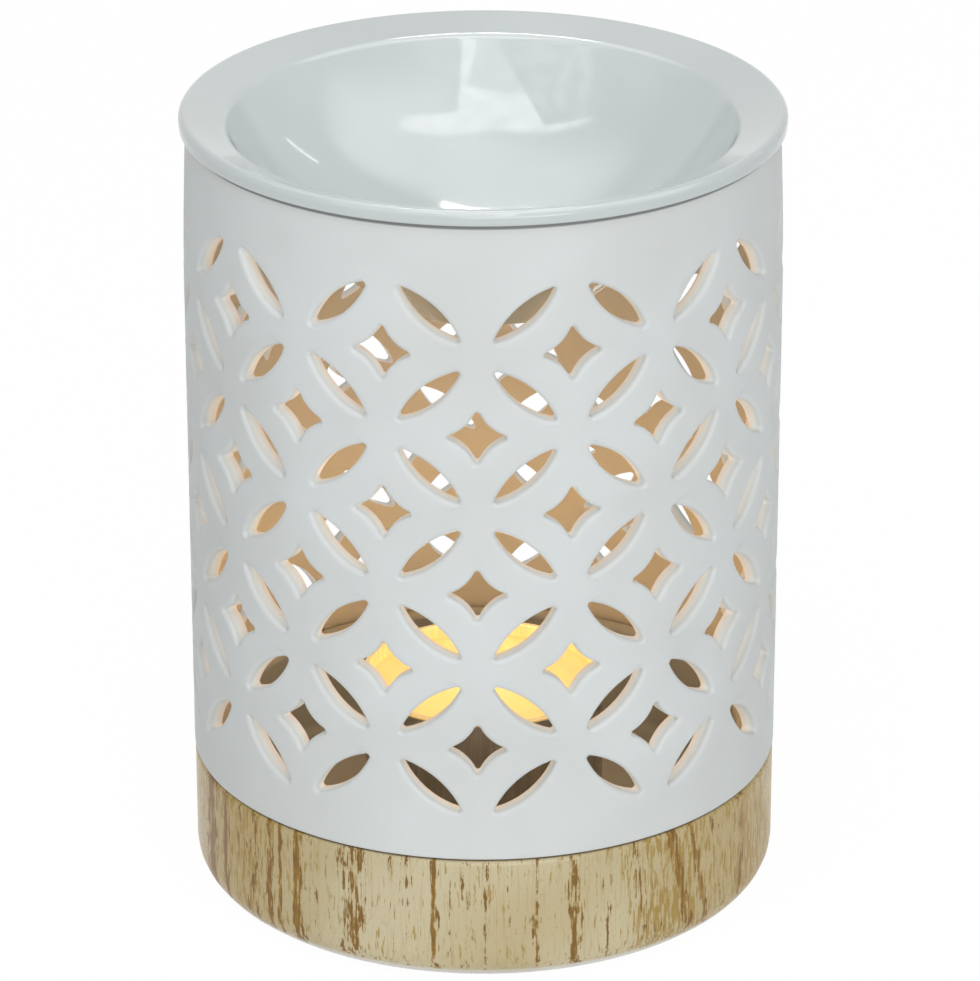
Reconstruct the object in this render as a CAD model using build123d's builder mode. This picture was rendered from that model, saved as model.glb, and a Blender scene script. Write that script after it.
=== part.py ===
from build123d import *
import math
import os

os.makedirs("parts", exist_ok=True)

# Essential oil burner: a dish for oil hangs in a pierced shell over a tealight in a round base.
# Millimetres. The base's foot stands on z = 0 and every piece is centred on the Z axis.

# Base: a thick round tray with a well for the tealight
base_radius = 45.0
base_height = 21.0  # from the foot up to the ledge that the shell stands on
base_foot_rounding = 5.0
base_ledge_bevel = 0.6
well_depth = 14.0
locating_ring_height = 2.0
locating_ring_width = 2.5  # between the shell's bore and the well
foot_ring_width = 4.0
foot_recess_depth = 2.5

# Pierced shell: a straight wall as wide as the base, drawn in a little towards its top edge
shell_height = 100.5
shell_shoulder_drop = 13.9  # below the top edge, where the wall starts to draw in
shell_top_inset = 0.7
shell_wall = 2.5
shell_locating_clearance = 1.0

# Lattice of overlapping circles: hubs and diamonds take turns, with a leaf between two hubs
lattice_columns = 20
lattice_rows = 6
plain_band_top = 7.67  # between the shell's top edge and the lattice
plain_band_bottom = 5.54
leaf_half_width = 1.6
leaf_reach_share = 0.31  # of a cell, from the middle of a leaf to its tips
diamond_reach_share = 0.336  # of a cell, from the middle of a diamond to its tips
diamond_waist_share = 0.134  # of a cell, from there to the middle of a hollow side
cut_overrun = 1.0

# Oil dish: heights are above its seat on the shell's top edge
rim_overhang = 1.0
rim_height = 2.4
rim_bevel = 0.8
band_width = 6.15
band_fall = 2.2
bowl_depth = 24.0  # below the inner edge of the band
dish_wall = 3.0
dish_hanging_clearance = 0.5  # round the bowl, inside the top of the shell
dish_foot_radius = 16.0
underside_bend_inset = 6.3  # from where the underside leaves the seat
underside_bend_drop = 11.0

# Tealight: a drawn cup with a turned-out rim, wax, a wick and the plate that holds the wick
cup_radius = 18.5
cup_height = 24.0
cup_wall = 0.4
cup_rim_width = 0.5
cup_rim_depth = 0.9
wax_drop = 2.0
wick_radius = 0.7
wick_stand = 6.5  # above the wax
sustainer_radius = 6.5
sustainer_thickness = 0.3
neck_height = 5.0
neck_wall = 0.3

# Levels and radii that follow
ledge_level = base_height
well_floor_level = base_height - well_depth
shell_bore = base_radius - shell_wall
shell_top_radius = base_radius - shell_top_inset
shell_top_bore = shell_top_radius - shell_wall
shell_top_level = ledge_level + shell_height


with BuildPart() as base:
    ring_radius = shell_bore - shell_locating_clearance
    ring_top = ledge_level + locating_ring_height
    well_radius = ring_radius - locating_ring_width
    foot_outer = base_radius - base_foot_rounding
    foot_inner = foot_outer - foot_ring_width
    with BuildSketch(Plane.XZ):
        with BuildLine():
            Polyline(
                (0, foot_recess_depth),
                (foot_inner, foot_recess_depth),
                (foot_inner, 0),
                (foot_outer, 0),
            )
            RadiusArc((foot_outer, 0), (base_radius, base_foot_rounding), -base_foot_rounding)
            Polyline(
                (base_radius, base_foot_rounding),
                (base_radius, ledge_level - base_ledge_bevel),
                (base_radius - base_ledge_bevel, ledge_level),
                (ring_radius, ledge_level),
                (ring_radius, ring_top),
                (well_radius, ring_top),
                (well_radius, well_floor_level),
                (0, well_floor_level),
                (0, foot_recess_depth),
            )
        make_face()
    revolve(axis=Axis.Z)
base.part.label = "base"
export_step(base.part, "parts/base.step")


cell_width = 2 * math.pi * base_radius / lattice_columns
row_pitch = (shell_height - plain_band_top - plain_band_bottom) / (lattice_rows + 1)
cell_diagonal = math.hypot(cell_width, row_pitch)
leaf_lean = math.degrees(math.atan2(row_pitch, cell_width))
leaf_reach = leaf_reach_share * cell_diagonal
diamond_tip = (diamond_reach_share * cell_width, diamond_reach_share * row_pitch)
diamond_waist = (diamond_waist_share * cell_width, diamond_waist_share * row_pitch)


def wall_plane(column, row, lean=0):
    """A plane just outside the shell's wall, facing outwards, at a place in the lattice.

    Columns are counted round from the front and rows down from the top row of hubs. The
    plane's x runs level round the wall, or rises by the lean."""
    turn = math.radians(360 / lattice_columns * column)
    outwards = Vector(math.sin(turn), -math.cos(turn), 0)
    height = shell_top_level - plain_band_top - (row + 1) * row_pitch
    rise = math.radians(lean)
    return Plane(
        origin=outwards * (base_radius + cut_overrun) + Vector(0, 0, height),
        x_dir=(math.cos(turn) * math.cos(rise), math.sin(turn) * math.cos(rise), math.sin(rise)),
        z_dir=outwards,
    )


with BuildPart() as pierced_shell:
    with BuildSketch(Plane.XZ):
        with BuildLine():
            Polyline(
                (shell_bore, ledge_level),
                (base_radius, ledge_level),
                (base_radius, shell_top_level - shell_shoulder_drop),
                (shell_top_radius, shell_top_level),
                (shell_top_bore, shell_top_level),
                (shell_bore, shell_top_level - shell_shoulder_drop),
                close=True,
            )
        make_face()
    revolve(axis=Axis.Z)
    cut_depth = shell_wall + shell_top_inset + 2 * cut_overrun

    # Leaves in every gap between two rows of hubs: those that rise, then those that fall
    for first_column, lean in ((0, leaf_lean), (1, -leaf_lean)):
        leaf_planes = [
            wall_plane(column + 1 / 2, row - 1 / 2, lean)
            for row in range(lattice_rows + 1)
            for column in range(first_column + row % 2, first_column + lattice_columns, 2)
        ]
        with BuildSketch(*leaf_planes):
            with BuildLine():
                ThreePointArc((-leaf_reach, 0), (0, leaf_half_width), (leaf_reach, 0))
                mirror(about=Plane.XZ)
            make_face()
        extrude(amount=-cut_depth, mode=Mode.SUBTRACT)

    # Diamonds with four hollow sides, between the hubs of each row
    diamond_planes = [
        wall_plane(column, row)
        for row in range(lattice_rows)
        for column in range(1 - row % 2, lattice_columns, 2)
    ]
    with BuildSketch(*diamond_planes):
        with BuildLine():
            ThreePointArc((diamond_tip[0], 0), diamond_waist, (0, diamond_tip[1]))
            mirror(about=Plane.XZ)
            mirror(about=Plane.YZ)
        make_face()
    extrude(amount=-cut_depth, mode=Mode.SUBTRACT)
pierced_shell.part.label = "pierced_shell"
export_step(pierced_shell.part, "parts/pierced_shell.step")


with BuildPart() as oil_dish:
    rim_radius = shell_top_radius + rim_overhang
    crown_radius = rim_radius - rim_bevel
    crease_radius = crown_radius - band_width
    crease_level = rim_height - band_fall
    bowl_floor = crease_level - bowl_depth
    bowl_radius = (crease_radius**2 + bowl_depth**2) / (2 * bowl_depth)
    underside_radius = shell_top_bore - dish_hanging_clearance
    seat_plane = Plane(origin=(0, 0, shell_top_level), x_dir=(1, 0, 0), z_dir=(0, -1, 0))
    with BuildSketch(seat_plane):
        with BuildLine():
            RadiusArc((0, bowl_floor), (crease_radius, crease_level), -bowl_radius)
            Polyline(
                (crease_radius, crease_level),
                (crown_radius, rim_height),
                (rim_radius, rim_height - rim_bevel),
                (rim_radius, 0),
                (underside_radius, 0),
                (underside_radius - underside_bend_inset, -underside_bend_drop),
                (dish_foot_radius, bowl_floor - dish_wall),
                (0, bowl_floor - dish_wall),
                (0, bowl_floor),
            )
        make_face()
    revolve(axis=Axis.Z)
oil_dish.part.label = "oil_dish"
export_step(oil_dish.part, "parts/oil_dish.step")


# The tealight's pieces are drawn from the floor of the base's well
tealight_plane = Plane(origin=(0, 0, well_floor_level), x_dir=(1, 0, 0), z_dir=(0, -1, 0))
cup_bore = cup_radius - cup_wall
wax_level = cup_height - wax_drop

with BuildPart() as tealight_cup:
    with BuildSketch(tealight_plane):
        with BuildLine():
            Polyline(
                (0, 0),
                (cup_radius, 0),
                (cup_radius, cup_height - cup_rim_depth),
                (cup_radius + cup_rim_width, cup_height - cup_rim_depth),
                (cup_radius + cup_rim_width, cup_height),
                (cup_bore, cup_height),
                (cup_bore, cup_wall),
                (0, cup_wall),
                close=True,
            )
        make_face()
    revolve(axis=Axis.Z)
tealight_cup.part.label = "tealight_cup"
export_step(tealight_cup.part, "parts/tealight_cup.step")

with BuildPart() as wick_sustainer:
    with BuildSketch(tealight_plane):
        with BuildLine():
            Polyline(
                (wick_radius, cup_wall),
                (sustainer_radius, cup_wall),
                (sustainer_radius, cup_wall + sustainer_thickness),
                (wick_radius + neck_wall, cup_wall + sustainer_thickness),
                (wick_radius + neck_wall, cup_wall + neck_height),
                (wick_radius, cup_wall + neck_height),
                close=True,
            )
        make_face()
    revolve(axis=Axis.Z)
wick_sustainer.part.label = "wick_sustainer"
export_step(wick_sustainer.part, "parts/wick_sustainer.step")

with BuildPart() as wick:
    with BuildSketch(Plane.XY.offset(well_floor_level + cup_wall)):
        Circle(wick_radius)
    extrude(amount=wax_level + wick_stand - cup_wall)
wick.part.label = "wick"
export_step(wick.part, "parts/wick.step")

with BuildPart() as wax:
    with BuildSketch(Plane.XY.offset(well_floor_level + cup_wall)):
        Circle(cup_bore)
    extrude(amount=wax_level - cup_wall)
    add(wick_sustainer.part, mode=Mode.SUBTRACT)
    add(wick.part, mode=Mode.SUBTRACT)
wax.part.label = "wax"
export_step(wax.part, "parts/wax.step")
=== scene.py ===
import math

import bmesh
import bpy
import numpy as np
from mathutils import Matrix, Vector


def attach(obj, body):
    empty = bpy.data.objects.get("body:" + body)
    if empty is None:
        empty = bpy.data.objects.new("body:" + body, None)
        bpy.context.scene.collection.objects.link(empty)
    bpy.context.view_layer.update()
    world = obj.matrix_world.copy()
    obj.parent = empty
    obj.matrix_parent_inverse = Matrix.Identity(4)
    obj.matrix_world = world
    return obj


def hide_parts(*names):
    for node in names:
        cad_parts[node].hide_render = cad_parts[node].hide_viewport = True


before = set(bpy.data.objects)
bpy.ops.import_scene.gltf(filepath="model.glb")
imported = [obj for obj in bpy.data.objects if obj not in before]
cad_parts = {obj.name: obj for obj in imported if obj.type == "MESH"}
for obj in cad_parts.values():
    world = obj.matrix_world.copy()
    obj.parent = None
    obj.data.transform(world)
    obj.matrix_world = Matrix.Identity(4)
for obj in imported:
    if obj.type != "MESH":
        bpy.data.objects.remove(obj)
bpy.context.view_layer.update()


# Base: a thick round tray of glazed stoneware with a well for the tealight. A wood-grain
# transfer is fired on round its side, down to a pale glaze line just above the foot.
MM = 0.001
BASE_RADIUS = 45.0
BASE_HEIGHT = 21.0
SIDE_RADIUS = BASE_RADIUS - 0.1
RING_RADIUS, RING_TOP = 41.5, 23.0
WELL_RADIUS, WELL_FLOOR = 39.0, 7.0
RECESS_RADIUS, RECESS_DEPTH = 36.0, 2.5
ARC_STEPS = 7


def aimed(turns):
    """Steps of length 1 towards the given turns, in radians."""
    return np.stack([np.cos(turns), np.sin(turns)], axis=-1)


def rounded(corners):
    """Rounds a closed outline of (radius, height, rounding) corners.

    Each corner gives way to an arc that touches both its sides, and each arc gets a
    neighbour on either side, so that the flat beside it stays flat when it is shaded. A
    rounding of 0 keeps the corner as it is."""
    points = []
    for place, (radius, height, rounding) in enumerate(corners):
        here = np.array((radius, height), float)
        if rounding == 0:
            points.append(here)
            continue
        before = np.array(corners[place - 1][:2], float) - here
        after = np.array(corners[(place + 1) % len(corners)][:2], float) - here
        before_length, after_length = np.linalg.norm(before), np.linalg.norm(after)
        before, after = before / before_length, after / after_length
        half = math.acos(float(np.clip(before @ after, -1, 1))) / 2
        reach = rounding / math.tan(half)
        middle = (before + after) / np.linalg.norm(before + after)
        centre = here + middle * rounding / math.sin(half)
        start, end = here + before * reach, here + after * reach
        first = math.atan2(*(start - centre)[::-1])
        turn = math.atan2(*(end - centre)[::-1]) - first
        turn = (turn + math.pi) % (2 * math.pi) - math.pi
        angle = first + turn * np.linspace(0, 1, ARC_STEPS)
        beside = min(0.25, 0.3 * rounding)
        if before_length > reach + 2 * beside:
            points.append(start + before * beside)
        points.extend(centre + rounding * aimed(angle))
        if after_length > reach + 2 * beside:
            points.append(end + after * beside)
    return np.array(points)


def placed(name, data):
    """A new object that shows a mesh, a lamp or a camera."""
    made = bpy.data.objects.new(name, data)
    bpy.context.collection.objects.link(made)
    return made


def quads_over(rows, columns, rows_close, columns_close):
    """Quads over a grid of points, which may close on itself after its last row or column."""
    row, column = np.meshgrid(
        np.arange(rows - (not rows_close)), np.arange(columns - (not columns_close)), indexing="ij"
    )
    next_row, next_column = (row + 1) % rows, (column + 1) % columns
    corners = [(row, column), (next_row, column), (next_row, next_column), (row, next_column)]
    return np.stack([r * columns + c for r, c in corners], axis=-1).reshape(-1, 4)


def piece(name, points, quads, crease=38):
    """A mesh object from points in millimetres and quads as rows of four point numbers.

    Points that fall together become one, the faces turn outwards, and edges that are
    bent by more than the crease, in degrees, stay sharp."""
    mesh = bpy.data.meshes.new(name)
    mesh.from_pydata((points.reshape(-1, 3) * MM).tolist(), [], quads.tolist())
    shape = bmesh.new()
    shape.from_mesh(mesh)
    bmesh.ops.remove_doubles(shape, verts=shape.verts, dist=0.002 * MM)
    bmesh.ops.dissolve_degenerate(shape, edges=shape.edges, dist=0.001 * MM)
    bmesh.ops.recalc_face_normals(shape, faces=shape.faces)
    shape.to_mesh(mesh)
    shape.free()
    mesh.shade_smooth()
    mesh.set_sharp_from_angle(angle=math.radians(crease))
    return placed(name, mesh)


def turned(name, profile, sides, waver=None):
    """A piece made by carrying a closed (radius, height) profile round the Z axis.

    x = radius cos(turn), y = radius sin(turn), z = height. The waver, if there is one,
    gives the radius anew from radius, height and turn, as a tool or a kiln would."""
    turn = np.linspace(0, 2 * math.pi, sides, endpoint=False)[:, None]
    radius = np.broadcast_to(profile[:, 0], (sides, len(profile)))
    height = np.broadcast_to(profile[:, 1], (sides, len(profile)))
    if waver:
        radius = waver(radius, height, turn)
    points = np.stack([radius * np.cos(turn), radius * np.sin(turn), height], axis=-1)
    return piece(name, points, quads_over(sides, len(profile), True, True))


def shade(red, green, blue):
    """The linear colour of an sRGB one that is written from 0 to 255."""
    values = np.array((red, green, blue)) / 255
    linear = np.where(values <= 0.04045, values / 12.92, ((values + 0.055) / 1.055) ** 2.4)
    return (*linear.tolist(), 1.0)


BLACK = (0, 0, 0, 1)


def wired(tree, node, sockets):
    """Links each named socket of a node to a socket, or sets it to a value."""
    for socket, value in sockets.items():
        if isinstance(value, bpy.types.NodeSocket):
            tree.links.new(value, node.inputs[socket])
        else:
            node.inputs[socket].default_value = value


def put(tree, kind, sockets, **settings):
    """A new shader node with its settings and its sockets."""
    node = tree.nodes.new("ShaderNode" + kind)
    for setting, value in settings.items():
        setattr(node, setting, value)
    wired(tree, node, sockets)
    return node


def maths(tree, operation, first, second=0.0):
    return put(tree, "Math", {0: first, 1: second}, operation=operation).outputs[0]


def times(tree, first, *others):
    """The product of all the values."""
    for other in others:
        first = maths(tree, "MULTIPLY", first, other)
    return first


def plus(tree, first, second):
    return maths(tree, "ADD", first, second)


def minus(tree, first, second):
    return maths(tree, "SUBTRACT", first, second)


def larger(tree, first, *others):
    """The largest of all the values."""
    for other in others:
        first = maths(tree, "MAXIMUM", first, other)
    return first


def blended(tree, amount, first, second, way="MIX"):
    """The first colour turned into the second by an amount from 0 to 1."""
    sockets = {0: amount, 6: first, 7: second}
    return put(tree, "Mix", sockets, data_type="RGBA", blend_type=way).outputs[2]


def rising(tree, value, low, high, bottom=0.0, top=1.0):
    """A smooth step from bottom to top, as the value goes from low to high."""
    sockets = {"Value": value, "From Min": low, "From Max": high, "To Min": bottom, "To Max": top}
    return put(tree, "MapRange", sockets, interpolation_type="SMOOTHSTEP").outputs[0]


def falling(tree, value, low, high):
    """A smooth step from 1 to 0, as the value goes from low to high."""
    return rising(tree, value, low, high, 1.0, 0.0)


def cloud(tree, place, scale, stretch=(1, 1, 1), detail=3.0, roughness=0.55, shift=(0, 0, 0)):
    """Noise about a half, its features 1 / scale metres wide, drawn out where the stretch is
    under 1."""
    mapped = put(tree, "Mapping", {"Vector": place, "Scale": stretch, "Location": shift}).outputs[0]
    sockets = {"Vector": mapped, "Scale": scale, "Detail": detail, "Roughness": roughness}
    return put(tree, "TexNoise", sockets).outputs[0]


def raised(tree, height, strength, distance):
    """The normal of a surface whose height of 1 stands a distance in millimetres proud."""
    sockets = {"Strength": strength, "Distance": distance * MM, "Height": height}
    return put(tree, "Bump", sockets).outputs[0]


def height_of(tree, place):
    return put(tree, "SeparateXYZ", {"Vector": place}).outputs["Z"]


def off_axis(tree, place):
    """The distance from the Z axis, on which every piece is centred."""
    level = put(tree, "Mapping", {"Vector": place, "Scale": (1, 1, 0)}).outputs[0]
    return put(tree, "VectorMath", {0: level}, operation="LENGTH").outputs["Value"]


def finish(name):
    """A new material: its tree, its Principled shader, and the piece's own coordinates."""
    material = bpy.data.materials.new(name)
    material.use_nodes = True
    tree = material.node_tree
    shader = tree.nodes["Principled BSDF"]
    place = put(tree, "TexCoord", {}).outputs["Object"]
    return material, tree, shader, place


# Fired body or glaze: broad pale and dark clouds, fine grain, and here and there a pinprick
fired = bpy.data.node_groups.new("fired_surface", "ShaderNodeTree")
for socket, direction, kind in (
    ("Place", "INPUT", "Vector"),
    ("Colour", "INPUT", "Color"),
    ("Shadow colour", "INPUT", "Color"),
    ("Clouding", "INPUT", "Float"),
    ("Colour", "OUTPUT", "Color"),
    ("Height", "OUTPUT", "Float"),
    ("Roughness shift", "OUTPUT", "Float"),
):
    fired.interface.new_socket(socket, in_out=direction, socket_type="NodeSocket" + kind)
fired_in = fired.nodes.new("NodeGroupInput").outputs
broad = cloud(fired, fired_in["Place"], 42, detail=2)
grain = cloud(fired, fired_in["Place"], 2600, detail=2, roughness=0.7)
swell = cloud(fired, fired_in["Place"], 130, detail=1)
pits = put(fired, "TexVoronoi", {"Vector": fired_in["Place"], "Scale": 330.0}).outputs["Distance"]
few = rising(fired, cloud(fired, fired_in["Place"], 210, shift=(3, 1, 2)), 0.6, 0.64)
pricked = times(fired, falling(fired, pits, 0.035, 0.075), few)
depth = times(fired, rising(fired, broad, 0.3, 0.7), fired_in["Clouding"])
clouded = blended(fired, depth, fired_in["Colour"], fired_in["Shadow colour"])
relief = minus(fired, plus(fired, times(fired, grain, 0.12), swell), times(fired, pricked, 0.3))
wired(fired, fired.nodes.new("NodeGroupOutput"), {
    "Colour": blended(fired, times(fired, pricked, 0.4), clouded, fired_in["Shadow colour"]),
    "Height": relief,
    "Roughness shift": rising(fired, grain, 0.3, 0.7, -0.04, 0.05),
})


def fired_surface(tree, place, colour, shadow_colour, clouding):
    """The fired surface group, placed in a material with its own colours."""
    node = put(tree, "Group", {}, node_tree=fired)
    wired(tree, node, {
        "Place": place,
        "Colour": colour,
        "Shadow colour": shadow_colour,
        "Clouding": clouding,
    })
    return node.outputs


base = turned("base_tray", rounded([
    (0, RECESS_DEPTH, 0),
    (RECESS_RADIUS, RECESS_DEPTH, 0.4),
    (RECESS_RADIUS, 0, 0.7),
    (SIDE_RADIUS, 0, 4.9),
    (SIDE_RADIUS, BASE_HEIGHT, 1.1),
    (RING_RADIUS, BASE_HEIGHT, 0.25),
    (RING_RADIUS, RING_TOP, 0.6),
    (WELL_RADIUS, RING_TOP, 0.8),
    (WELL_RADIUS, WELL_FLOOR, 1.6),
    (0, WELL_FLOOR, 0),
]), sides=360)

# Wood-grain transfer: streaks at (angle from the front in degrees, half width, strength),
# each one ragged and broken along its length
STREAKS_LEFT = [
    (-67.0, 3.4, 0.9), (-60.5, 1.6, 0.85), (-54.4, 0.5, 0.7), (-51.4, 0.8, 0.85),
    (-49.0, 0.7, 0.72), (-45.1, 0.55, 0.8), (-42.2, 0.65, 0.75), (-38.0, 0.7, 0.85),
    (-36.3, 0.6, 0.8), (-33.3, 0.45, 0.5),
]
STREAKS_MIDDLE = [
    (-27.3, 0.7, 0.95), (-25.4, 0.35, 0.55), (-23.3, 0.85, 1.0), (-16.6, 0.4, 0.5),
    (-13.6, 0.9, 0.5), (-8.6, 0.55, 0.88), (-5.4, 0.35, 0.42), (-2.5, 0.5, 0.62),
    (1.4, 0.6, 0.42), (5.1, 0.5, 0.8),
]
STREAKS_RIGHT = [
    (11.5, 0.55, 0.75), (16.0, 0.4, 0.55), (19.0, 0.95, 1.0), (25.7, 0.9, 0.5),
    (33.0, 0.9, 0.72), (37.0, 0.6, 0.5), (42.7, 1.3, 0.98), (48.0, 1.0, 0.88),
    (54.0, 0.8, 0.6), (62.0, 1.3, 0.62),
]


def streaked(tree, turn, streaks):
    """A mask of the turn round the base that is strong at each streak and nothing between."""
    ramp = put(tree, "ValToRGB", {"Fac": turn})
    ramp.color_ramp.interpolation = "LINEAR"
    stops = ramp.color_ramp.elements
    for end in (0, 1):
        stops[end].position, stops[end].color = end, BLACK
    for angle, half_width, strength in streaks:
        for offset, level in ((-1.5 * half_width, 0), (0, strength), (1.5 * half_width, 0)):
            stops.new(0.5 + (angle + offset) / 360).color = (level, level, level, 1)
    return ramp.outputs[0]


material, tree, shader, place = finish("wood_print_glaze")
height = height_of(tree, place)
# The turn round the base, a half at the front, shaken a little up and down its height
facing = put(tree, "Mapping", {"Vector": place, "Rotation": (0, 0, math.pi / 2)}).outputs[0]
turn = put(tree, "TexGradient", {"Vector": facing}, gradient_type="RADIAL").outputs[1]
turn = plus(tree, turn, times(tree, minus(tree, cloud(tree, place, 120, detail=2), 0.5), 0.004))
# The streaks at the right lean, to the right at their feet
leaning = times(tree, rising(tree, turn, 0.575, 0.6), falling(tree, turn, 0.64, 0.68))
turn = plus(tree, turn, times(tree, leaning, minus(tree, height, 11 * MM), 0.8))
# The print of the two sides comes round again at the back
again = maths(tree, "FRACT", plus(tree, turn, 0.5))
main = larger(
    tree,
    streaked(tree, turn, STREAKS_LEFT),
    streaked(tree, turn, STREAKS_MIDDLE),
    streaked(tree, turn, STREAKS_RIGHT),
    streaked(tree, again, STREAKS_LEFT),
    streaked(tree, again, STREAKS_RIGHT),
)
# Fibres: fine threads up the side, chopped shorter by a coarser noise, break the streaks up
threads = cloud(tree, place, 2300, (1, 1, 0.06), detail=3, roughness=0.6)
chopped = cloud(tree, place, 1100, (1, 1, 0.26), detail=4, roughness=0.7, shift=(1, 2, 3))
fibre = minus(tree, plus(tree, times(tree, threads, 0.9), times(tree, chopped, 1.1)), 1.0)
main = rising(tree, plus(tree, main, times(tree, fibre, 1.7)), 0.36, 0.6)
# Between the streaks: hairs, and flecks that crowd together at both sides
crowd = cloud(tree, place, 60, (1, 1, 0.5), detail=2, shift=(0.4, 0.2, 0))
crowd = rising(tree, crowd, 0.38, 0.66, -0.05, 0.03)
right_side = rising(tree, turn, 0.575, 0.6, 0.0, 0.085)
right_side = times(tree, right_side, falling(tree, turn, 0.73, 0.78))
left_side = rising(tree, turn, 0.395, 0.42, 0.035, 0.0)
crowd = plus(tree, plus(tree, crowd, right_side), left_side)
flecks = cloud(tree, place, 1900, (1, 1, 0.15), detail=4, roughness=0.62, shift=(5, 5, 5))
flecks = rising(tree, plus(tree, flecks, crowd), 0.53, 0.64, 0.0, 0.8)
hairs = cloud(tree, place, 2600, (1, 1, 0.04), detail=2, shift=(2, 7, 1))
hairs = rising(tree, hairs, 0.53, 0.68, 0.0, 0.24)
print_depth = larger(tree, main, flecks, hairs)
# Ink: golden and thin in the flecks, browner in the streaks, redder in the broad band at the left
ink = blended(tree, rising(tree, fibre, -0.15, 0.2), shade(158, 117, 14), shade(120, 82, 0))
ink = blended(tree, falling(tree, turn, 0.338, 0.345), ink, shade(134, 93, 28))
ink = blended(tree, rising(tree, main, 0.1, 0.7), shade(160, 124, 4), ink)
# Towards both sides the ground turns darker and yellower
ground = fired_surface(tree, place, shade(208, 197, 163), shade(192, 175, 132), 0.8)
left_darkening = rising(tree, turn, 0.33, 0.42, 0.7, 0.0)
right_darkening = rising(tree, turn, 0.575, 0.72, 0.0, 0.7)
darkened_ground = blended(tree, plus(tree, left_darkening, right_darkening), ground["Colour"], shade(186, 158, 84))
printed = blended(tree, times(tree, print_depth, 0.95), darkened_ground, ink)
# The print ends in a soft line above the foot and just over the ledge's rounded edge
outside = off_axis(tree, place)
side = times(
    tree,
    rising(tree, height, 1.7 * MM, 2.5 * MM),
    falling(tree, height, (BASE_HEIGHT - 0.2) * MM, BASE_HEIGHT * MM),
    rising(tree, outside, 42.6 * MM, 43.4 * MM),
)
plain = fired_surface(tree, place, shade(222, 219, 209), shade(204, 198, 184), 0.6)
body = blended(tree, side, plain["Colour"], printed)
# Painted shade: a brown line darkens the ledge's edge, under the shell, where the gap between the
# two parts lies in shadow
ledge_gap_shade = rising(tree, height, (BASE_HEIGHT - 0.45) * MM, (BASE_HEIGHT - 0.15) * MM)
ledge_gap_shade = times(tree, rising(tree, outside, 41.8 * MM, 43.8 * MM), ledge_gap_shade, 0.9)
relief = plus(tree, ground["Height"], times(tree, print_depth, 0.25))
wired(tree, shader, {
    "Base Color": blended(tree, ledge_gap_shade, body, shade(84, 66, 40)),
    "Roughness": plus(tree, ground["Roughness shift"], rising(tree, print_depth, 0, 1, 0.3, 0.42)),
    "Normal": raised(tree, relief, 0.25, 0.05),
    "Specular IOR Level": 0.35,
    "Coat Weight": 0.12,
    "Coat Roughness": 0.15,
})
base.data.materials.append(material)
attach(base, "base")
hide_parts("base")


# Tealight cup: thin aluminium foil, deep drawn in one stroke, with its cut edge rolled
# outwards. It stands loose on the floor of the base's well.
CUP_RADIUS = 18.5
CUP_TOP = WELL_FLOOR + 24.0
CUP_WALL = 0.4
CUP_BORE = CUP_RADIUS - CUP_WALL
ROLL_RADIUS = CUP_RADIUS + 0.5
ROLL_FOOT = CUP_TOP - 0.95
PANEL_RISE = 0.5
FLUTES, FLUTE_DEPTH = 40, 0.08


def drawn_wall(radius, height, turn):
    """Shallow flutes that the drawing leaves in the wall: the radius falls a little, forty times
    round, most at mid height, and nothing at the floor and the rim."""
    rise = np.clip((height - WELL_FLOOR) / (CUP_TOP - 1.6 - WELL_FLOOR), 0, 1)
    flute = 0.5 + 0.5 * np.cos(FLUTES * turn + 2.0 * np.sin(3 * turn))
    return radius - FLUTE_DEPTH * flute * np.sin(math.pi * rise) * (radius > CUP_RADIUS - 0.2)


cup = turned("foil_cup", rounded([
    (0, WELL_FLOOR + PANEL_RISE, 0),
    (14.2, WELL_FLOOR + PANEL_RISE, 0.5),
    (15.2, WELL_FLOOR, 0.6),
    (CUP_RADIUS, WELL_FLOOR, 1.0),
    (CUP_RADIUS, WELL_FLOOR + 7, 0),
    (CUP_RADIUS, WELL_FLOOR + 12, 0),
    (CUP_RADIUS, WELL_FLOOR + 17, 0),
    (CUP_RADIUS, ROLL_FOOT, 0.12),
    (ROLL_RADIUS, ROLL_FOOT, 0.2),
    (ROLL_RADIUS, CUP_TOP, 0.4),
    (CUP_BORE, CUP_TOP, 0.25),
    (CUP_BORE, WELL_FLOOR + PANEL_RISE + CUP_WALL, 0.6),
    (0, WELL_FLOOR + PANEL_RISE + CUP_WALL, 0),
]), sides=240, waver=drawn_wall)
material, tree, shader, place = finish("drawn_foil")
# Hair lines run up the wall where the tool pulled the foil, brighter and duller in turn
lines = cloud(tree, place, 2600, (1, 1, 0.05), detail=3)
pulled = cloud(tree, place, 620, (1, 1, 0.05), detail=2, shift=(1, 0, 2))
dull = rising(tree, plus(tree, times(tree, pulled, 0.7), times(tree, lines, 0.3)), 0.38, 0.64)
relief = plus(tree, times(tree, lines, 0.5), times(tree, pulled, 0.5))
# The flame lights the foil inside, above the wax, and along the rim
inside = falling(tree, off_axis(tree, place), (CUP_BORE + 0.05) * MM, (CUP_BORE + 0.2) * MM)
rim = rising(tree, height_of(tree, place), (CUP_TOP - 0.75) * MM, (CUP_TOP - 0.3) * MM)
wired(tree, shader, {
    "Base Color": blended(tree, dull, shade(204, 204, 204), shade(184, 183, 181)),
    "Metallic": 1.0,
    "Roughness": rising(tree, lines, 0.3, 0.7, 0.34, 0.5),
    "Normal": raised(tree, relief, 0.2, 0.05),
    "Emission Color": blended(tree, larger(tree, inside, rim), BLACK, shade(255, 206, 106)),
    "Emission Strength": 0.62,
})
# The glow shows, and isn't a lamp: sampled as one, it takes the light of the real lamps away
material.cycles.emission_sampling = "NONE"
cup.data.materials.append(material)
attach(cup, "tealight")
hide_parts("tealight_cup")


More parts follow.
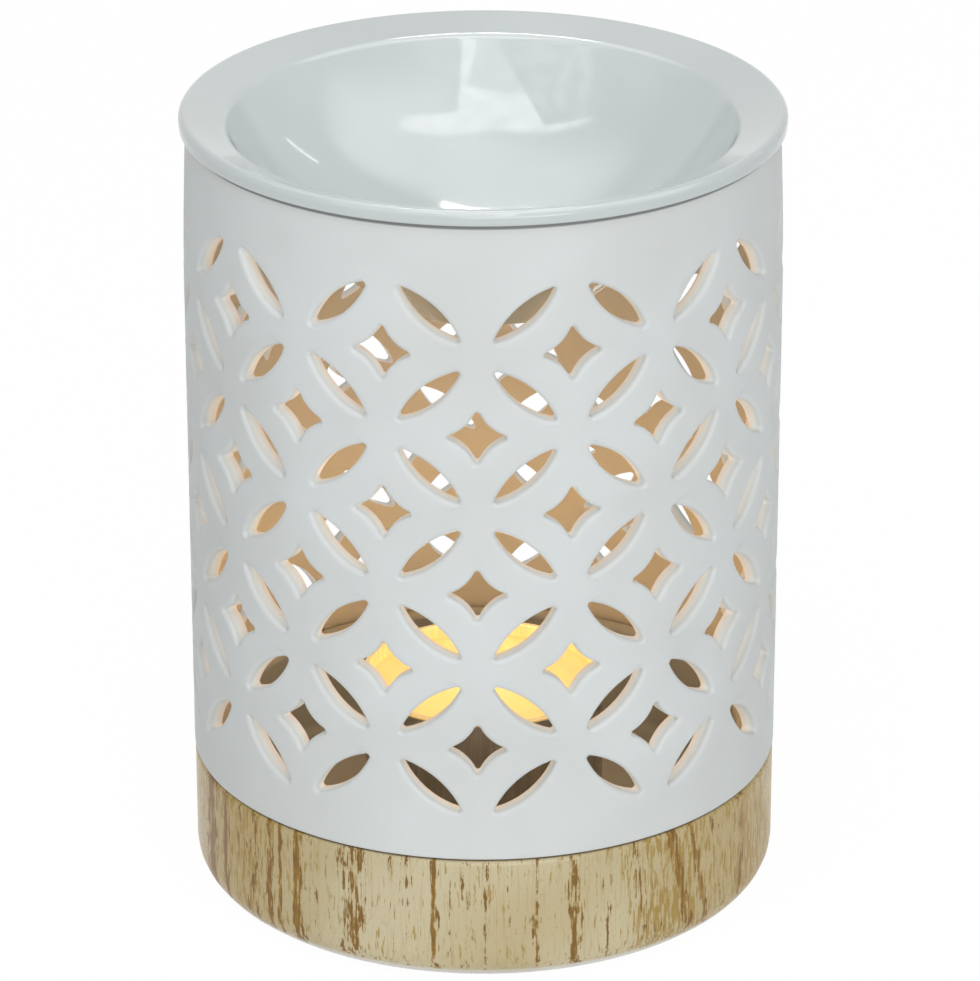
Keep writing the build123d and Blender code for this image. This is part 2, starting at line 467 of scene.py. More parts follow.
# Wick plate: a small disc of tinned steel with a neck that is crimped round the wick. It is
# pressed to the floor of the cup and drowned in the wax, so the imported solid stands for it.
material, tree, shader, place = finish("tinned_steel")
scuffs = cloud(tree, place, 1400, (1, 0.2, 1), detail=3)
spangle = put(tree, "TexVoronoi", {"Vector": place, "Scale": 900.0}).outputs["Color"]
tin = blended(tree, rising(tree, scuffs, 0.35, 0.7), shade(196, 196, 198), shade(150, 149, 148))
wired(tree, shader, {
    "Base Color": blended(tree, 0.12, tin, spangle, "SOFT_LIGHT"),
    "Metallic": 1.0,
    "Roughness": rising(tree, scuffs, 0.3, 0.7, 0.25, 0.45),
    "Normal": raised(tree, scuffs, 0.3, 0.02),
})
wick_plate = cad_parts["wick_sustainer"]
for slot in wick_plate.material_slots:
    slot.material = material
if not wick_plate.material_slots:
    wick_plate.data.materials.append(material)


# Wax: poured paraffin that fills the cup. The flame keeps a clear pool round the wick, which
# climbs a little up the wick and the foil, and the lit wax glows yellow, redder at its rim.
WAX_TOP = CUP_TOP - 2.0
POOL_DROP = 0.35
WICK_RADIUS = 0.7
WICK_GAP = 0.05
WAX_FOOT = WELL_FLOOR + CUP_WALL + 0.55
WAX_RADIUS = CUP_BORE - 0.17
# Height falls away from the wick and rises again at the foil, both as fast-fading exponentials
from_wick = WICK_GAP + (CUP_BORE - WICK_RADIUS - 2 * WICK_GAP) * np.linspace(0, 1, 34)
from_foil = CUP_BORE - WICK_GAP - WICK_RADIUS - from_wick
climb = 0.3 * np.exp(-from_wick / 0.5) + 0.35 * np.exp(-from_foil / 0.55)
pool = np.column_stack([
    np.minimum(WICK_RADIUS + from_wick, WAX_RADIUS),
    WAX_TOP - POOL_DROP + climb,
])
# Below, the wax goes down the foil, over the plate and up its neck to the wick
block = [
    (WAX_RADIUS, WAX_FOOT + 0.4),
    (WAX_RADIUS - 0.4, WAX_FOOT),
    (7.2, WAX_FOOT),
    (7.2, WAX_FOOT + 0.2),
    (1.3, WAX_FOOT + 0.2),
    (1.3, WAX_FOOT + 5.2),
    (WICK_RADIUS + WICK_GAP, WAX_FOOT + 5.2),
]
wax = turned("poured_wax", np.concatenate([pool, block]), sides=180)
material, tree, shader, place = finish("lit_wax")
swirl = times(tree, minus(tree, cloud(tree, place, 110, detail=3), 0.5), 5 * MM)
ring = plus(tree, off_axis(tree, place), swirl)
redder = rising(tree, ring, 10 * MM, CUP_RADIUS * MM)
warm = blended(tree, redder, shade(250, 208, 112), shade(247, 176, 92))
warm = blended(tree, rising(tree, ring, 2 * MM, 9 * MM), shade(252, 222, 132), warm)
wired(tree, shader, {
    "Base Color": blended(tree, 0.5, warm, shade(250, 238, 214)),
    "Roughness": rising(tree, ring, 9 * MM, 15 * MM, 0.12, 0.3),
    "Normal": raised(tree, cloud(tree, place, 240, detail=2), 0.2, 0.2),
    "Emission Color": warm,
    "Emission Strength": 0.86,
    "Subsurface Weight": 0.3,
    "Subsurface Radius": (0.004, 0.002, 0.001),
    "Coat Weight": 0.3,
})
wax.data.materials.append(material)
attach(wax, "tealight")
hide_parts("wax")


# Wick: a braided cotton cord, waxed stiff, straight up from the plate's neck and bent over
# a little at its burnt tip.
WICK_FOOT = WELL_FLOOR + CUP_WALL + 0.05
WICK_STAND = 5.2
WICK_STEPS = 20


def along(path, radii, steps):
    """Points of a tube: circles of the given radii round the points of a path, each turned to
    face along the path, with the path's own direction taken from its neighbours."""
    ahead = np.gradient(path, axis=0)
    ahead /= np.linalg.norm(ahead, axis=1)[:, None]
    aside = np.cross(ahead, (0.0, 1.0, 0.0))
    aside /= np.linalg.norm(aside, axis=1)[:, None]
    up = np.cross(ahead, aside)
    turn = np.linspace(0, 2 * math.pi, steps, endpoint=False)[None, :, None]
    circles = np.cos(turn) * aside[:, None] + np.sin(turn) * up[:, None]
    return path[:, None] + radii[:, None, None] * circles


wick_rise = np.concatenate([[0, 0], np.linspace(0, 1, 60), [1, 1]])
wick_bend = 0.9 * np.clip((wick_rise - 0.8) / 0.2, 0, 1) ** 2
wick_height = WICK_FOOT + (WAX_TOP + WICK_STAND - WICK_FOOT + 0.05) * wick_rise
wick_path = np.stack([wick_bend, 0 * wick_rise, wick_height], axis=1)
# Both ends close to a point over a small bevel
wick_path[:2, 2] -= (0.02, 0.01)
wick_path[-2:, 2] += (0.01, 0.02)
wick_radii = np.full(len(wick_rise), WICK_RADIUS - 0.06)
wick_radii[[0, -1]] = 0.0
wick_radii[[1, -2]] = 0.45
wick_points = along(wick_path, wick_radii, WICK_STEPS)
# The braid: three strands wind one way and three the other, each standing a little proud
wick_turn = np.linspace(0, 2 * math.pi, WICK_STEPS, endpoint=False)[None, :]
winding = 2.2 * wick_path[:, 2][:, None]
braid = np.maximum(np.cos(3 * wick_turn + winding), np.cos(3 * wick_turn - winding))[..., None]
wick_points = wick_path[:, None] + (wick_points - wick_path[:, None]) * (1 + 0.06 * (braid - 1))
wick_quads = quads_over(len(wick_rise), WICK_STEPS, False, True)
wick = piece("braided_wick", wick_points, wick_quads, crease=80)
material, tree, shader, place = finish("waxed_cotton")
fibre = cloud(tree, place, 5200, (1, 1, 0.35), detail=4)
burnt = plus(tree, height_of(tree, place), times(tree, fibre, 1.2 * MM))
burnt = rising(tree, burnt, (WAX_TOP + 1.4) * MM, (WAX_TOP + 3.2) * MM)
cotton = blended(tree, rising(tree, fibre, 0.35, 0.7), shade(236, 224, 198), shade(196, 178, 146))
char = blended(tree, rising(tree, fibre, 0.4, 0.7), shade(28, 22, 18), shade(62, 48, 38))
wired(tree, shader, {
    "Base Color": blended(tree, burnt, cotton, char),
    "Roughness": rising(tree, fibre, 0.3, 0.7, 0.7, 0.92),
    "Normal": raised(tree, fibre, 0.6, 0.08),
})
wick.data.materials.append(material)
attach(wick, "tealight")
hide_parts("wick")


# Flame: a small still drop of burning wax vapour round the wick's tip, blue at its foot and
# yellow above. It isn't a solid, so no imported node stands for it, and it throws no shadow.
FLAME_FOOT, FLAME_HEIGHT, FLAME_RADIUS = WAX_TOP + 4.2, 6.4, 1.9
FLAME_ROWS, FLAME_STEPS = 36, 24
flame_rise = np.linspace(0, 1, FLAME_ROWS)
# Radius as the square root of the rise times what is left of it, drawn thinner to the tip
flame_radii = FLAME_RADIUS * np.sqrt(flame_rise) * (1 - flame_rise) ** 0.8 * 2.0
flame_height = FLAME_FOOT + FLAME_HEIGHT * flame_rise
flame_path = np.stack([0.5 * flame_rise, 0 * flame_rise, flame_height], axis=1)
flame_points = along(flame_path, flame_radii, FLAME_STEPS)
flame_quads = quads_over(FLAME_ROWS, FLAME_STEPS, False, True)
flame = piece("flame", flame_points, flame_quads, crease=80)
material, tree, shader, place = finish("burning_vapour")
flicker = times(tree, cloud(tree, place, 500, (1, 1, 0.3), detail=2), 1.5 * MM)
lift = plus(tree, height_of(tree, place), flicker)
yellow = rising(tree, lift, (FLAME_FOOT + 1.0) * MM, (FLAME_FOOT + 3.0) * MM)
orange = rising(tree, lift, (FLAME_FOOT + 4.3) * MM, (FLAME_FOOT + 7.3) * MM)
glow = blended(tree, yellow, shade(150, 160, 255), shade(255, 214, 110))
glow = blended(tree, orange, glow, shade(255, 190, 90))
thick = rising(tree, lift, (FLAME_FOOT + 0.8) * MM, (FLAME_FOOT + 3.3) * MM, 0.35, 0.95)
wired(tree, shader, {
    "Base Color": glow,
    "Emission Color": glow,
    "Emission Strength": 1.6,
    "Alpha": thick,
})
flame.data.materials.append(material)
flame.visible_shadow = False
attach(flame, "tealight")


# Pierced shell: slip-cast white bisque, a straight tube as wide as the base and drawn in a
# little at its top. The overlapping-circles lattice is cut through it square to the wall,
# and its outer edges are sponged round before firing. It stands loose on the base's ledge.
SHELL_RADIUS = 45.0
SHELL_FOOT = BASE_HEIGHT
SHELL_HEIGHT = 100.5
SHELL_TOP = SHELL_FOOT + SHELL_HEIGHT
SHELL_WALL = 2.5
SHOULDER_RISE, TOP_INSET = 76, 0.7
COLUMNS, ROWS = 20, 6
CELL_WIDTH, ROW_PITCH = 2 * math.pi * SHELL_RADIUS / COLUMNS, 12.47
PLAIN_BAND = 7.67
TOP_ROW = SHELL_HEIGHT - PLAIN_BAND - ROW_PITCH  # of hubs, above the shell's foot
LEAF_HALF_WIDTH, LEAF_REACH_SHARE = 1.6, 0.31
# The diamond's hollow sides would meet a little further out, if its tips weren't rounded
DIAMOND_REACH_SHARE, DIAMOND_WAIST_SHARE, DIAMOND_OVERSHOOT = 0.336, 0.134, 1.13
TIP_ROUNDING = 0.42
EDGE_ROUNDING = 0.7
HUB_STEPS, TIP_STEPS, SIDE_STEPS = 3, 3, 5
EDGE_STEPS = HUB_STEPS + TIP_STEPS + SIDE_STEPS


def on_the_wall(flat):
    """Flat (x, rise, depth) points round the shell, the turn being x over the radius, from the
    front. The wall draws in above its shoulder, as the 1.5th power of what is left."""
    above = np.clip((flat[..., 1] - SHOULDER_RISE) / (SHELL_HEIGHT - SHOULDER_RISE), 0, 1)
    radius = SHELL_RADIUS - TOP_INSET * above**1.5 - flat[..., 2]
    turn = flat[..., 0] / SHELL_RADIUS
    rings = [radius * np.sin(turn), -radius * np.cos(turn), SHELL_FOOT + flat[..., 1]]
    return np.stack(rings, axis=-1).reshape(-1, 3)


def round_through(first, second, third):
    """Centre and radius of the circle through three points."""
    rows = 2 * np.array([second - first, third - first])
    sums = np.array([second @ second - first @ first, third @ third - first @ first])
    centre = np.linalg.solve(rows, sums)
    return centre, float(np.linalg.norm(centre - first))


def leaf_edge(half_cell, grown):
    """Lower right edge of the leaf, from its upper tip to the middle of its side.

    Two arcs meet: a small one round the tip, a large one along the side. A point is the
    arc's centre plus its radius along the normal, and the edge grows outwards along it."""
    half_diagonal = np.linalg.norm(half_cell)
    tip, wide = TIP_ROUNDING, LEAF_HALF_WIDTH
    tip_out = LEAF_REACH_SHARE * 2 * half_diagonal - tip
    large = (tip_out**2 / (wide - tip) + wide + tip) / 2
    meet = math.atan2(wide - large, tip_out)
    tip_turn = np.linspace(0, meet, TIP_STEPS + 1)
    side_turn = np.linspace(meet, -math.pi / 2, SIDE_STEPS + 1)[1:]
    edge = np.concatenate([
        (tip_out, 0) + (tip + grown) * aimed(tip_turn),
        (0, large - wide) + (large + grown) * aimed(side_turn),
    ])
    lean = half_cell / half_diagonal
    return edge[:, :1] * lean + edge[:, 1:] * (-lean[1], lean[0])


def diamond_edge(half_cell, grown):
    """Upper left edge of the diamond in the cell's lower right corner, from its upper tip to
    the middle of its hollow side: a small arc round the tip, then one about a centre outside."""
    tip = TIP_ROUNDING
    far = DIAMOND_OVERSHOOT * DIAMOND_REACH_SHARE * 2 * half_cell
    waist = DIAMOND_WAIST_SHARE * 2 * half_cell
    centre, large = round_through(far * (1, 0), waist, far * (0, 1))
    tip_up = centre[1] - math.sqrt((large + tip) ** 2 - centre[0] ** 2)
    meet = math.atan2(centre[1] - tip_up, centre[0])
    middle = math.atan2(*(centre - waist)[::-1])
    tip_turn = np.linspace(math.pi / 2, meet, TIP_STEPS + 1)
    side_turn = np.linspace(meet, middle, SIDE_STEPS + 1)[1:]
    edge = np.concatenate([
        (0, tip_up) + (tip + grown) * aimed(tip_turn),
        centre - (large - grown) * aimed(side_turn),
    ])
    return (edge - half_cell) * (-1, 1)


def joined(sheets):
    """The points and quads of several (points, quads) sheets as one."""
    starts = np.cumsum([0] + [len(points) for points, quads in sheets])
    quads = [quads + start for (points, quads), start in zip(sheets, starts)]
    return np.concatenate([points for points, quads in sheets]), np.concatenate(quads)


def quarter(upright, cut):
    """A quarter of a leaf's cell, as flat (x, y, depth) points and quads.

    Upright, it lies between the leaf and the diamond in the cell's lower right corner, and
    otherwise x and y change places. Both edges start at the hub in the upper right corner,
    and a point of the face is the leaf's edge turned into the diamond's by a share across.
    Where the diamond isn't cut, a straight line from hub to corner stands for its edge."""
    half_cell = np.array((CELL_WIDTH, ROW_PITCH) if upright else (ROW_PITCH, CELL_WIDTH)) / 2
    round_axis = 0 if upright else 1
    corner = half_cell * (1, -1)
    uncut = half_cell + (corner - half_cell) * np.linspace(0, 1, EDGE_STEPS + 1)[:, None]

    def squared(edge, middle, deep):
        """The edge at a depth: it grows along the way round by the radius over the radius
        left, about the hole's middle, so that the hole's sides stay square to the wall."""
        edge[:, round_axis] -= middle
        edge[:, round_axis] *= SHELL_RADIUS / (SHELL_RADIUS - deep)
        edge[:, round_axis] += middle
        return edge

    def leaf(grown, deep):
        return squared(leaf_edge(half_cell, grown), 0, deep)

    def diamond(grown, deep):
        return squared(diamond_edge(half_cell, grown), corner[round_axis], deep)

    def from_hub(edge):
        to_tip = np.linspace(0, 1, HUB_STEPS + 1)[:-1, None]
        return np.concatenate([half_cell + (edge[0] - half_cell) * to_tip, edge])

    def sheet(lines, deeps):
        """Lines of points, each at its own depth, with the quads between them."""
        steps = len(lines[0])
        points = np.column_stack([np.concatenate(lines), np.repeat(deeps, steps)])
        return points, quads_over(len(lines), steps, False, False)

    sheets = []
    for grown, deep in ((EDGE_ROUNDING, 0.0), (0.0, SHELL_WALL)):
        first = from_hub(leaf(grown, deep))
        last = from_hub(diamond(grown, deep)) if cut else uncut
        lines = [first + (last - first) * share for share in (0, 0.16, 0.84, 1)]
        sheets.append(sheet(lines, [deep] * len(lines)))
    # The hole's sides: over the rounded edge, then straight through the wall
    bend = np.radians((0, 22, 45, 68, 90))
    growing = [*EDGE_ROUNDING * (1 - np.sin(bend)), 0.0]
    deepening = [*EDGE_ROUNDING * (1 - np.cos(bend)), SHELL_WALL]
    for edge in (leaf, diamond) if cut else (leaf,):
        lines = [edge(grown, deep) for grown, deep in zip(growing, deepening)]
        sheets.append(sheet(lines, deepening))
    points, quads = joined(sheets)
    return points if upright else points[:, (1, 0, 2)], quads


# Leaves that rise and leaves that fall take turns along a row and from row to row. Each is
# four quarters: two of them, and the same two turned over.
shell_sheets = []
for leaf_row in range(ROWS + 1):
    for leaning in (1, -1):
        first_column = (leaf_row + (leaning == -1)) % 2
        for upright in (True, False):
            for turned_over in (1, -1):
                # The bands above the first row and below the last have no diamonds
                above = upright == (turned_over == -1)
                cut = leaf_row != (0 if above else ROWS)
                flat, quads = quarter(upright, cut)
                flat = flat * (turned_over * leaning, turned_over, 1)
                rise = TOP_ROW - (leaf_row - 0.5) * ROW_PITCH
                for column in range(first_column, COLUMNS, 2):
                    middle = ((column + 0.5) * CELL_WIDTH, rise, 0)
                    shell_sheets.append((on_the_wall(flat + middle), quads))


def arc(rise, deep, rounding, first, last):
    """Points of a circle about a (rise, depth), from a first to a last angle in degrees."""
    return (rise, deep) + rounding * aimed(np.radians(np.linspace(first, last, 6)))


# The plain bands: a (rise, depth) line over the edge, carried round in the same steps as the
# lattice's border. Beside each arc a neighbour keeps the flat even.
TOP_OUTER, TOP_INNER, FOOT_OUTER, FOOT_INNER = 0.6, 0.4, 0.5, 0.3
BAND_MIDDLE = 96
lattice_top, lattice_foot = TOP_ROW + ROW_PITCH, TOP_ROW - ROWS * ROW_PITCH
top_line = np.concatenate([
    [(lattice_top, 0), (BAND_MIDDLE, 0), (SHELL_HEIGHT - TOP_OUTER - 0.2, 0)],
    arc(SHELL_HEIGHT - TOP_OUTER, TOP_OUTER, TOP_OUTER, -90, 0),
    [(SHELL_HEIGHT, SHELL_WALL - TOP_INNER - 0.1)],
    arc(SHELL_HEIGHT - TOP_INNER, SHELL_WALL - TOP_INNER, TOP_INNER, 0, 90),
    [(BAND_MIDDLE, SHELL_WALL), (lattice_top, SHELL_WALL)],
])
foot_line = np.concatenate([
    [(lattice_foot, 0), (FOOT_OUTER + 0.2, 0)],
    arc(FOOT_OUTER, FOOT_OUTER, FOOT_OUTER, -90, -180),
    [(0, SHELL_WALL - FOOT_INNER - 0.1)],
    arc(FOOT_INNER, SHELL_WALL - FOOT_INNER, FOOT_INNER, 180, 90),
    [(lattice_foot, SHELL_WALL)],
])
border_x = np.arange(COLUMNS * EDGE_STEPS) * CELL_WIDTH / EDGE_STEPS
for line in (top_line, foot_line):
    band = np.empty((len(border_x), len(line), 3))
    band[..., 0] = border_x[:, None]
    band[..., 1:] = line
    shell_sheets.append((on_the_wall(band), quads_over(*band.shape[:2], True, False)))

shell = piece("lattice_shell", *joined(shell_sheets))
material, tree, shader, place = finish("white_bisque")
outside = off_axis(tree, place)
bisque = fired_surface(tree, place, shade(222, 227, 227), shade(215, 219, 218), 0.8)
# Painted light: the inner wall and the unsponged cut faces are tinted warm towards the inside, as
# the candle's light colours them
painted_candle_warmth = times(tree, falling(tree, outside, 42.4 * MM, 44.2 * MM), 0.5)
body = blended(tree, painted_candle_warmth, bisque["Colour"], shade(236, 222, 206))
# Painted shadow: a grey line darkens the top edge, outside the ring that the dish hides, where the
# dish's rim overhangs it
dish_rim_shadow = times(
    tree,
    rising(tree, height_of(tree, place), (SHELL_TOP - 0.84) * MM, (SHELL_TOP - 0.55) * MM),
    rising(tree, outside, 43.45 * MM, 43.75 * MM),
    0.8,
)
# The flame's light soaks into the thin wall and shows in the cut faces
cut_face = times(
    tree,
    rising(tree, outside, 42.5 * MM, 42.6 * MM),
    falling(tree, outside, 43.5 * MM, 44.6 * MM),
)
soaked = rising(tree, outside, 42.6 * MM, 43.3 * MM)
soaked = blended(tree, soaked, shade(255, 208, 166), shade(196, 192, 184))
wired(tree, shader, {
    "Base Color": blended(tree, dish_rim_shadow, body, shade(96, 98, 98)),
    "Roughness": plus(tree, bisque["Roughness shift"], 0.5),
    "Normal": raised(tree, bisque["Height"], 0.3, 0.06),
    "Emission Color": blended(tree, cut_face, BLACK, soaked),
    "Emission Strength": 0.27,
    "Specular IOR Level": 0.25,
    "Subsurface Weight": 0.08,
    "Subsurface Radius": (0.0016, 0.0011, 0.0008),
})
material.cycles.emission_sampling = "NONE"
shell.data.materials.append(material)
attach(shell, "shell")
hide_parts("pierced_shell")


# Oil dish: slip-cast and dipped in a glossy white glaze that rounds every edge. Its flat band
# falls to a soft crease, the bowl below is part of a sphere, and it hangs loose in the shell.
SEAT = SHELL_TOP
RIM_RADIUS, RIM_HEIGHT = 45.3, 2.4
CROWN_RADIUS, CROWN_BEVEL = 44.6, 0.9
CREASE_RADIUS, CREASE_HEIGHT = 38.35, 0.2
BOWL_DEPTH, DISH_WALL = 24.0, 3.0
UNDERSIDE_RADIUS, DISH_FOOT_RADIUS = 41.3, 16.0
BEND_RADIUS, BEND_HEIGHT = 35.0, -11.0
bowl_radius = (CREASE_RADIUS**2 + BOWL_DEPTH**2) / (2 * BOWL_DEPTH)
bowl_floor = CREASE_HEIGHT - BOWL_DEPTH
# The bowl, from its middle to a little short of the crease, by equal turns about its centre
swing = np.linspace(0, math.asin(CREASE_RADIUS / bowl_radius) - 0.055, 40)
bowl = np.column_stack([
    bowl_radius * np.sin(swing),
    bowl_floor + bowl_radius - bowl_radius * np.cos(swing),
    0 * swing,
])
dish_outline = rounded([
    *bowl.tolist(),
    (CREASE_RADIUS, CREASE_HEIGHT, 1.7),
    (CROWN_RADIUS, RIM_HEIGHT, 0.9),
    (RIM_RADIUS, RIM_HEIGHT - CROWN_BEVEL, 0.7),
    (RIM_RADIUS, 0, 0.4),
    (UNDERSIDE_RADIUS, 0, 0.4),
    (BEND_RADIUS, BEND_HEIGHT, 12.0),
    (DISH_FOOT_RADIUS, bowl_floor - DISH_WALL, 3.0),
    (0, bowl_floor - DISH_WALL, 0),
])
dish = turned("glazed_dish", dish_outline + (0, SEAT), sides=360)
material, tree, shader, place = finish("glossy_white_glaze")
glaze = fired_surface(tree, place, shade(218, 226, 225), shade(211, 219, 218), 0.7)
height, outside = height_of(tree, place), off_axis(tree, place)
# Painted shade: the seat under the rim is darkened grey, where the rim hangs over the shadowed gap
# at the shell's top edge
seat_gap_shade = times(
    tree,
    rising(tree, height, (SEAT + 0.05) * MM, (SEAT + 0.22) * MM, 0.85, 0.0),
    rising(tree, height, (SEAT - 0.2) * MM, (SEAT - 0.05) * MM),
    rising(tree, outside, 40.8 * MM, 41.2 * MM),
)
# Painted shade: the rim's outer edge is coloured a darker grey, so that it shows less of the light
# that falls on it
rim_face_shade = rising(tree, outside, 44.3 * MM, 45.0 * MM)
rim_face_shade = blended(tree, rim_face_shade, glaze["Colour"], shade(202, 210, 210))
wired(tree, shader, {
    "Base Color": blended(tree, seat_gap_shade, rim_face_shade, shade(90, 92, 94)),
    "Roughness": plus(tree, times(tree, glaze["Roughness shift"], 0.3), 0.075),
    "Normal": raised(tree, glaze["Height"], 0.12, 0.05),
    "Coat Weight": 0.3,
    "Coat Roughness": 0.04,
})
dish.data.materials.append(material)
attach(dish, "dish")
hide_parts("oil_dish")


# Floor, room and lamps: a white sweep, even light all round, a soft lamp in front, and the
# soft boxes overhead. The candle's own light is a small warm lamp in its flame.
WHITE = (1, 1, 1, 1)
FLOOR_RADIUS = 4.0
DISH_MIDDLE = Vector((0, 0, SEAT * MM))
BOX_AZIMUTH, BOX_ELEVATION = -12, 55


def flat_face(name, corners):
    """A flat face from its corners in metres."""
    mesh = bpy.data.meshes.new(name)
    mesh.from_pydata(corners, [], [list(range(len(corners)))])
    return placed(name, mesh)


def eye_rays(tree):
    """1 on the camera's rays, also mirrored or let through, and 0 on the rays that light."""
    rays = put(tree, "LightPath", {}).outputs
    return larger(tree, rays["Is Camera Ray"], rays["Is Glossy Ray"], rays["Is Transmission Ray"])


def lamp(name, kind, place, power, colour=(1, 1, 1), aim=DISH_MIDDLE, **settings):
    """A lamp at a place in metres, turned to shine at its aim."""
    data = bpy.data.lights.new(name, kind)
    data.energy = power
    data.color = colour
    for setting, value in settings.items():
        setattr(data, setting, value)
    made = placed(name, data)
    turn = (Vector(aim) - Vector(place)).to_track_quat("-Z", "Y").to_matrix().to_4x4()
    made.matrix_world = Matrix.Translation(place) @ turn
    return made


def overhead(azimuth, elevation, distance=0.8):
    """A place seen from the dish at an azimuth from the front, to the right, and an elevation."""
    a, e = math.radians(azimuth), math.radians(elevation)
    towards = Vector((math.sin(a) * math.cos(e), -math.cos(a) * math.cos(e), math.sin(e)))
    return DISH_MIDDLE + distance * towards


floor_turn = np.linspace(0, 2 * math.pi, 64, endpoint=False)
floor_ring = np.column_stack([FLOOR_RADIUS * aimed(floor_turn), 0 * floor_turn])
floor = flat_face("floor", floor_ring.tolist())
material, tree, shader, place = finish("white_sweep")
weave = rising(tree, cloud(tree, place, 900, detail=2), 0.3, 0.7)
wired(tree, shader, {
    "Base Color": blended(tree, weave, (0.86, 0.86, 0.86, 1), (0.84, 0.84, 0.84, 1)),
    "Roughness": 0.9,
})
white = put(tree, "Emission", {"Color": WHITE, "Strength": 1.02})
mixed = {0: times(tree, eye_rays(tree), 0.95), 1: shader.outputs[0], 2: white.outputs[0]}
wired(tree, tree.nodes["Material Output"], {"Surface": put(tree, "MixShader", mixed).outputs[0]})
floor.data.materials.append(material)

world = bpy.data.worlds.new("room")
world.use_nodes = True
bpy.context.scene.world = world
tree = world.node_tree
tree.nodes.clear()
room = put(tree, "Background", {"Color": WHITE, "Strength": 0.385})
backdrop = put(tree, "Background", {"Color": WHITE, "Strength": 1.0})
mixed = {0: eye_rays(tree), 1: room.outputs[0], 2: backdrop.outputs[0]}
put(tree, "OutputWorld", {"Surface": put(tree, "MixShader", mixed).outputs[0]})

lamp("front_soft_box", "AREA", (0.28, -1.2, 0.3), 4.8, aim=(0, 0, 0.08),
     shape="RECTANGLE", size=0.9, size_y=0.6)
# The two boxes over the dish light it, and the overhead face below stands for them in the glaze
over_front = lamp("over_front_box", "AREA", overhead(BOX_AZIMUTH, BOX_ELEVATION), 1.9,
                  shape="RECTANGLE", size=0.9, size_y=0.5)
over_front.visible_glossy = False
ceiling = lamp("ceiling_box", "AREA", (0, -0.1, 1.3), 1.5, shape="SQUARE", size=0.6)
ceiling.visible_glossy = False
lamp("side_glint", "AREA", overhead(131, 26.4), 0.03, shape="RECTANGLE", size=0.009, size_y=0.15)
candle = lamp("candlelight", "POINT", (0.0005, 0, 0.0378), 0.019, (1.0, 0.59, 0.21),
              shadow_soft_size=0.0015)
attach(candle, "tealight")
# The candle's light falls on what stands round it; the wax and the flame glow by themselves
lit_round = bpy.data.collections.new("lit_by_the_candle")
for lit in (shell, dish, base, cup):
    lit_round.objects.link(lit)
candle.light_linking.receiver_collection = lit_round


# Overhead face: what the glaze mirrors. A wide haze of light, in it the open face of a soft
# box with panels hung before it, and far back a narrow strip that lights the crease. Across is
# metres from the middle, which the bowl turns over, and up is metres towards the back.
FACE_CORNERS = ((-3.0, -0.32), (3.0, -0.32), (3.0, 3.0), (-3.0, 3.0))
face_middle = overhead(BOX_AZIMUTH, BOX_ELEVATION)
face_side = Vector((math.cos(math.radians(BOX_AZIMUTH)), math.sin(math.radians(BOX_AZIMUTH)), 0))
face_up = (face_middle - DISH_MIDDLE).normalized().cross(face_side)
overhead_face = flat_face("overhead_face", [
    face_middle + face_side * across + face_up * up for across, up in FACE_CORNERS
])
face_map = overhead_face.data.uv_layers.new(name="face")
for corner, spot in zip(face_map.data, FACE_CORNERS):
    corner.uv = spot
material, tree, shader, place = finish("overhead_cloth")
face = put(tree, "UVMap", {}, uv_map="face").outputs[0]
face = put(tree, "SeparateXYZ", {"Vector": face}).outputs
across, up = face["X"], face["Y"]
# The open cloth of the soft box, brighter and duller in streaks
open_foot = minus(tree, up, times(tree, larger(tree, across, 0.0), 0.5))
open_cloth = times(
    tree,
    falling(tree, maths(tree, "ABSOLUTE", across), 0.5, 0.68),
    falling(tree, open_foot, 0.25, 0.34),
)
streaky = rising(tree, cloud(tree, place, 9, detail=3), 0.3, 0.65, 3.2, 4.9)
# The panels, named as the bowl shows them: each has one slanted edge and a foot
left_edge = plus(tree, across, times(tree, up, 0.16))
left_foot = minus(tree, up, times(tree, across, 0.55))
left_panel = rising(tree, left_edge, 0.235, 0.25)
left_panel = times(tree, left_panel, falling(tree, left_foot, 0.09, 0.105))
right_edge = plus(tree, across, times(tree, up, 0.7))
right_panel = falling(tree, right_edge, -0.115, -0.1)
right_panel = times(tree, right_panel, falling(tree, up, 0.24, 0.255))
middle_panel = times(
    tree,
    falling(tree, across, 0.185, 0.2),
    rising(tree, up, 0.03, 0.05, 0.55, 0.0),
)
mottled = rising(tree, cloud(tree, place, 12, detail=3, shift=(2, 0, 1)), 0.4, 0.6, 0.9, 0.7)
panels = times(tree, larger(tree, left_panel, right_panel), mottled)
panels = larger(tree, panels, middle_panel)
glow = times(tree, open_cloth, minus(tree, 1.0, panels), streaky)
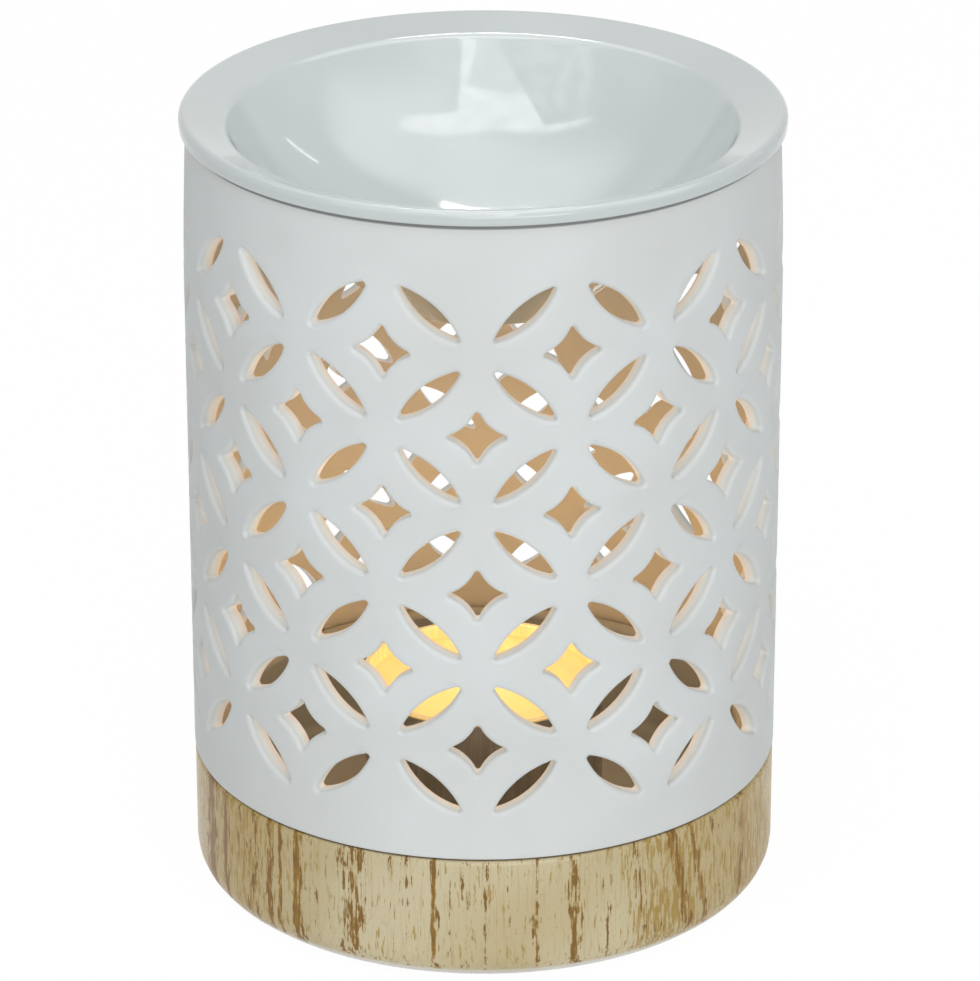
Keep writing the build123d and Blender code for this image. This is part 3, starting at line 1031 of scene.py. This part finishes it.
# The haze fades out to both sides, towards the front and towards the back
haze_aside = maths(tree, "ABSOLUTE", minus(tree, across, 0.35))
haze = times(
    tree,
    rising(tree, haze_aside, 0.6, 2.4, 1.9, 0.0),
    rising(tree, minus(tree, up, times(tree, haze_aside, 0.45)), -0.25, 0.35),
    falling(tree, minus(tree, up, times(tree, haze_aside, 0.6)), 0.9, 1.7),
)
strip = times(
    tree,
    rising(tree, up, 1.3, 1.34),
    rising(tree, up, 1.5, 1.55, 24.0, 0.0),
    falling(tree, maths(tree, "ABSOLUTE", plus(tree, across, 0.2)), 0.3, 0.4),
)
power = plus(tree, larger(tree, glow, haze, strip), 1.0)
cloth = put(tree, "Emission", {"Color": WHITE, "Strength": power}).outputs[0]
wired(tree, tree.nodes["Material Output"], {"Surface": cloth})
material.cycles.emission_sampling = "NONE"
overhead_face.data.materials.append(material)
for ray in ("camera", "diffuse", "transmission", "shadow"):
    setattr(overhead_face, "visible_" + ray, False)


# Camera: at the photograph's height and angle, a little turned and rolled, with the long lens
# that the shape of the rims shows.
FOCAL_PIXELS, WIDTH_PIXELS, SENSOR_WIDTH = 5540.0, 980, 36
DISTANCE, LOOK_HEIGHT = 0.84755, 0.06141
rise, yaw, roll, orbit = (math.radians(value) for value in (23.45, 0.071, 0.06, 1.237))
eye = Vector((0, -math.cos(rise) * DISTANCE, math.sin(rise) * DISTANCE + LOOK_HEIGHT))
back = Vector((-math.sin(yaw) * math.cos(rise), -math.cos(yaw) * math.cos(rise), math.sin(rise)))
level = Vector((math.cos(yaw), -math.sin(yaw), 0))
upwards = back.cross(level)
right = math.cos(roll) * level - math.sin(roll) * upwards
upwards = math.sin(roll) * level + math.cos(roll) * upwards
facing = Matrix((right, upwards, back)).transposed().to_4x4()
camera_data = bpy.data.cameras.new("camera")
camera_data.sensor_fit = "HORIZONTAL"
camera_data.sensor_width = SENSOR_WIDTH
camera_data.lens = FOCAL_PIXELS / WIDTH_PIXELS * SENSOR_WIDTH
camera_data.clip_start = 0.05
camera = placed("camera", camera_data)
camera.matrix_world = Matrix.Rotation(orbit, 4, "Z") @ Matrix.Translation(eye) @ facing
bpy.context.scene.camera = camera
bpy.context.scene.view_settings.view_transform = "Standard"
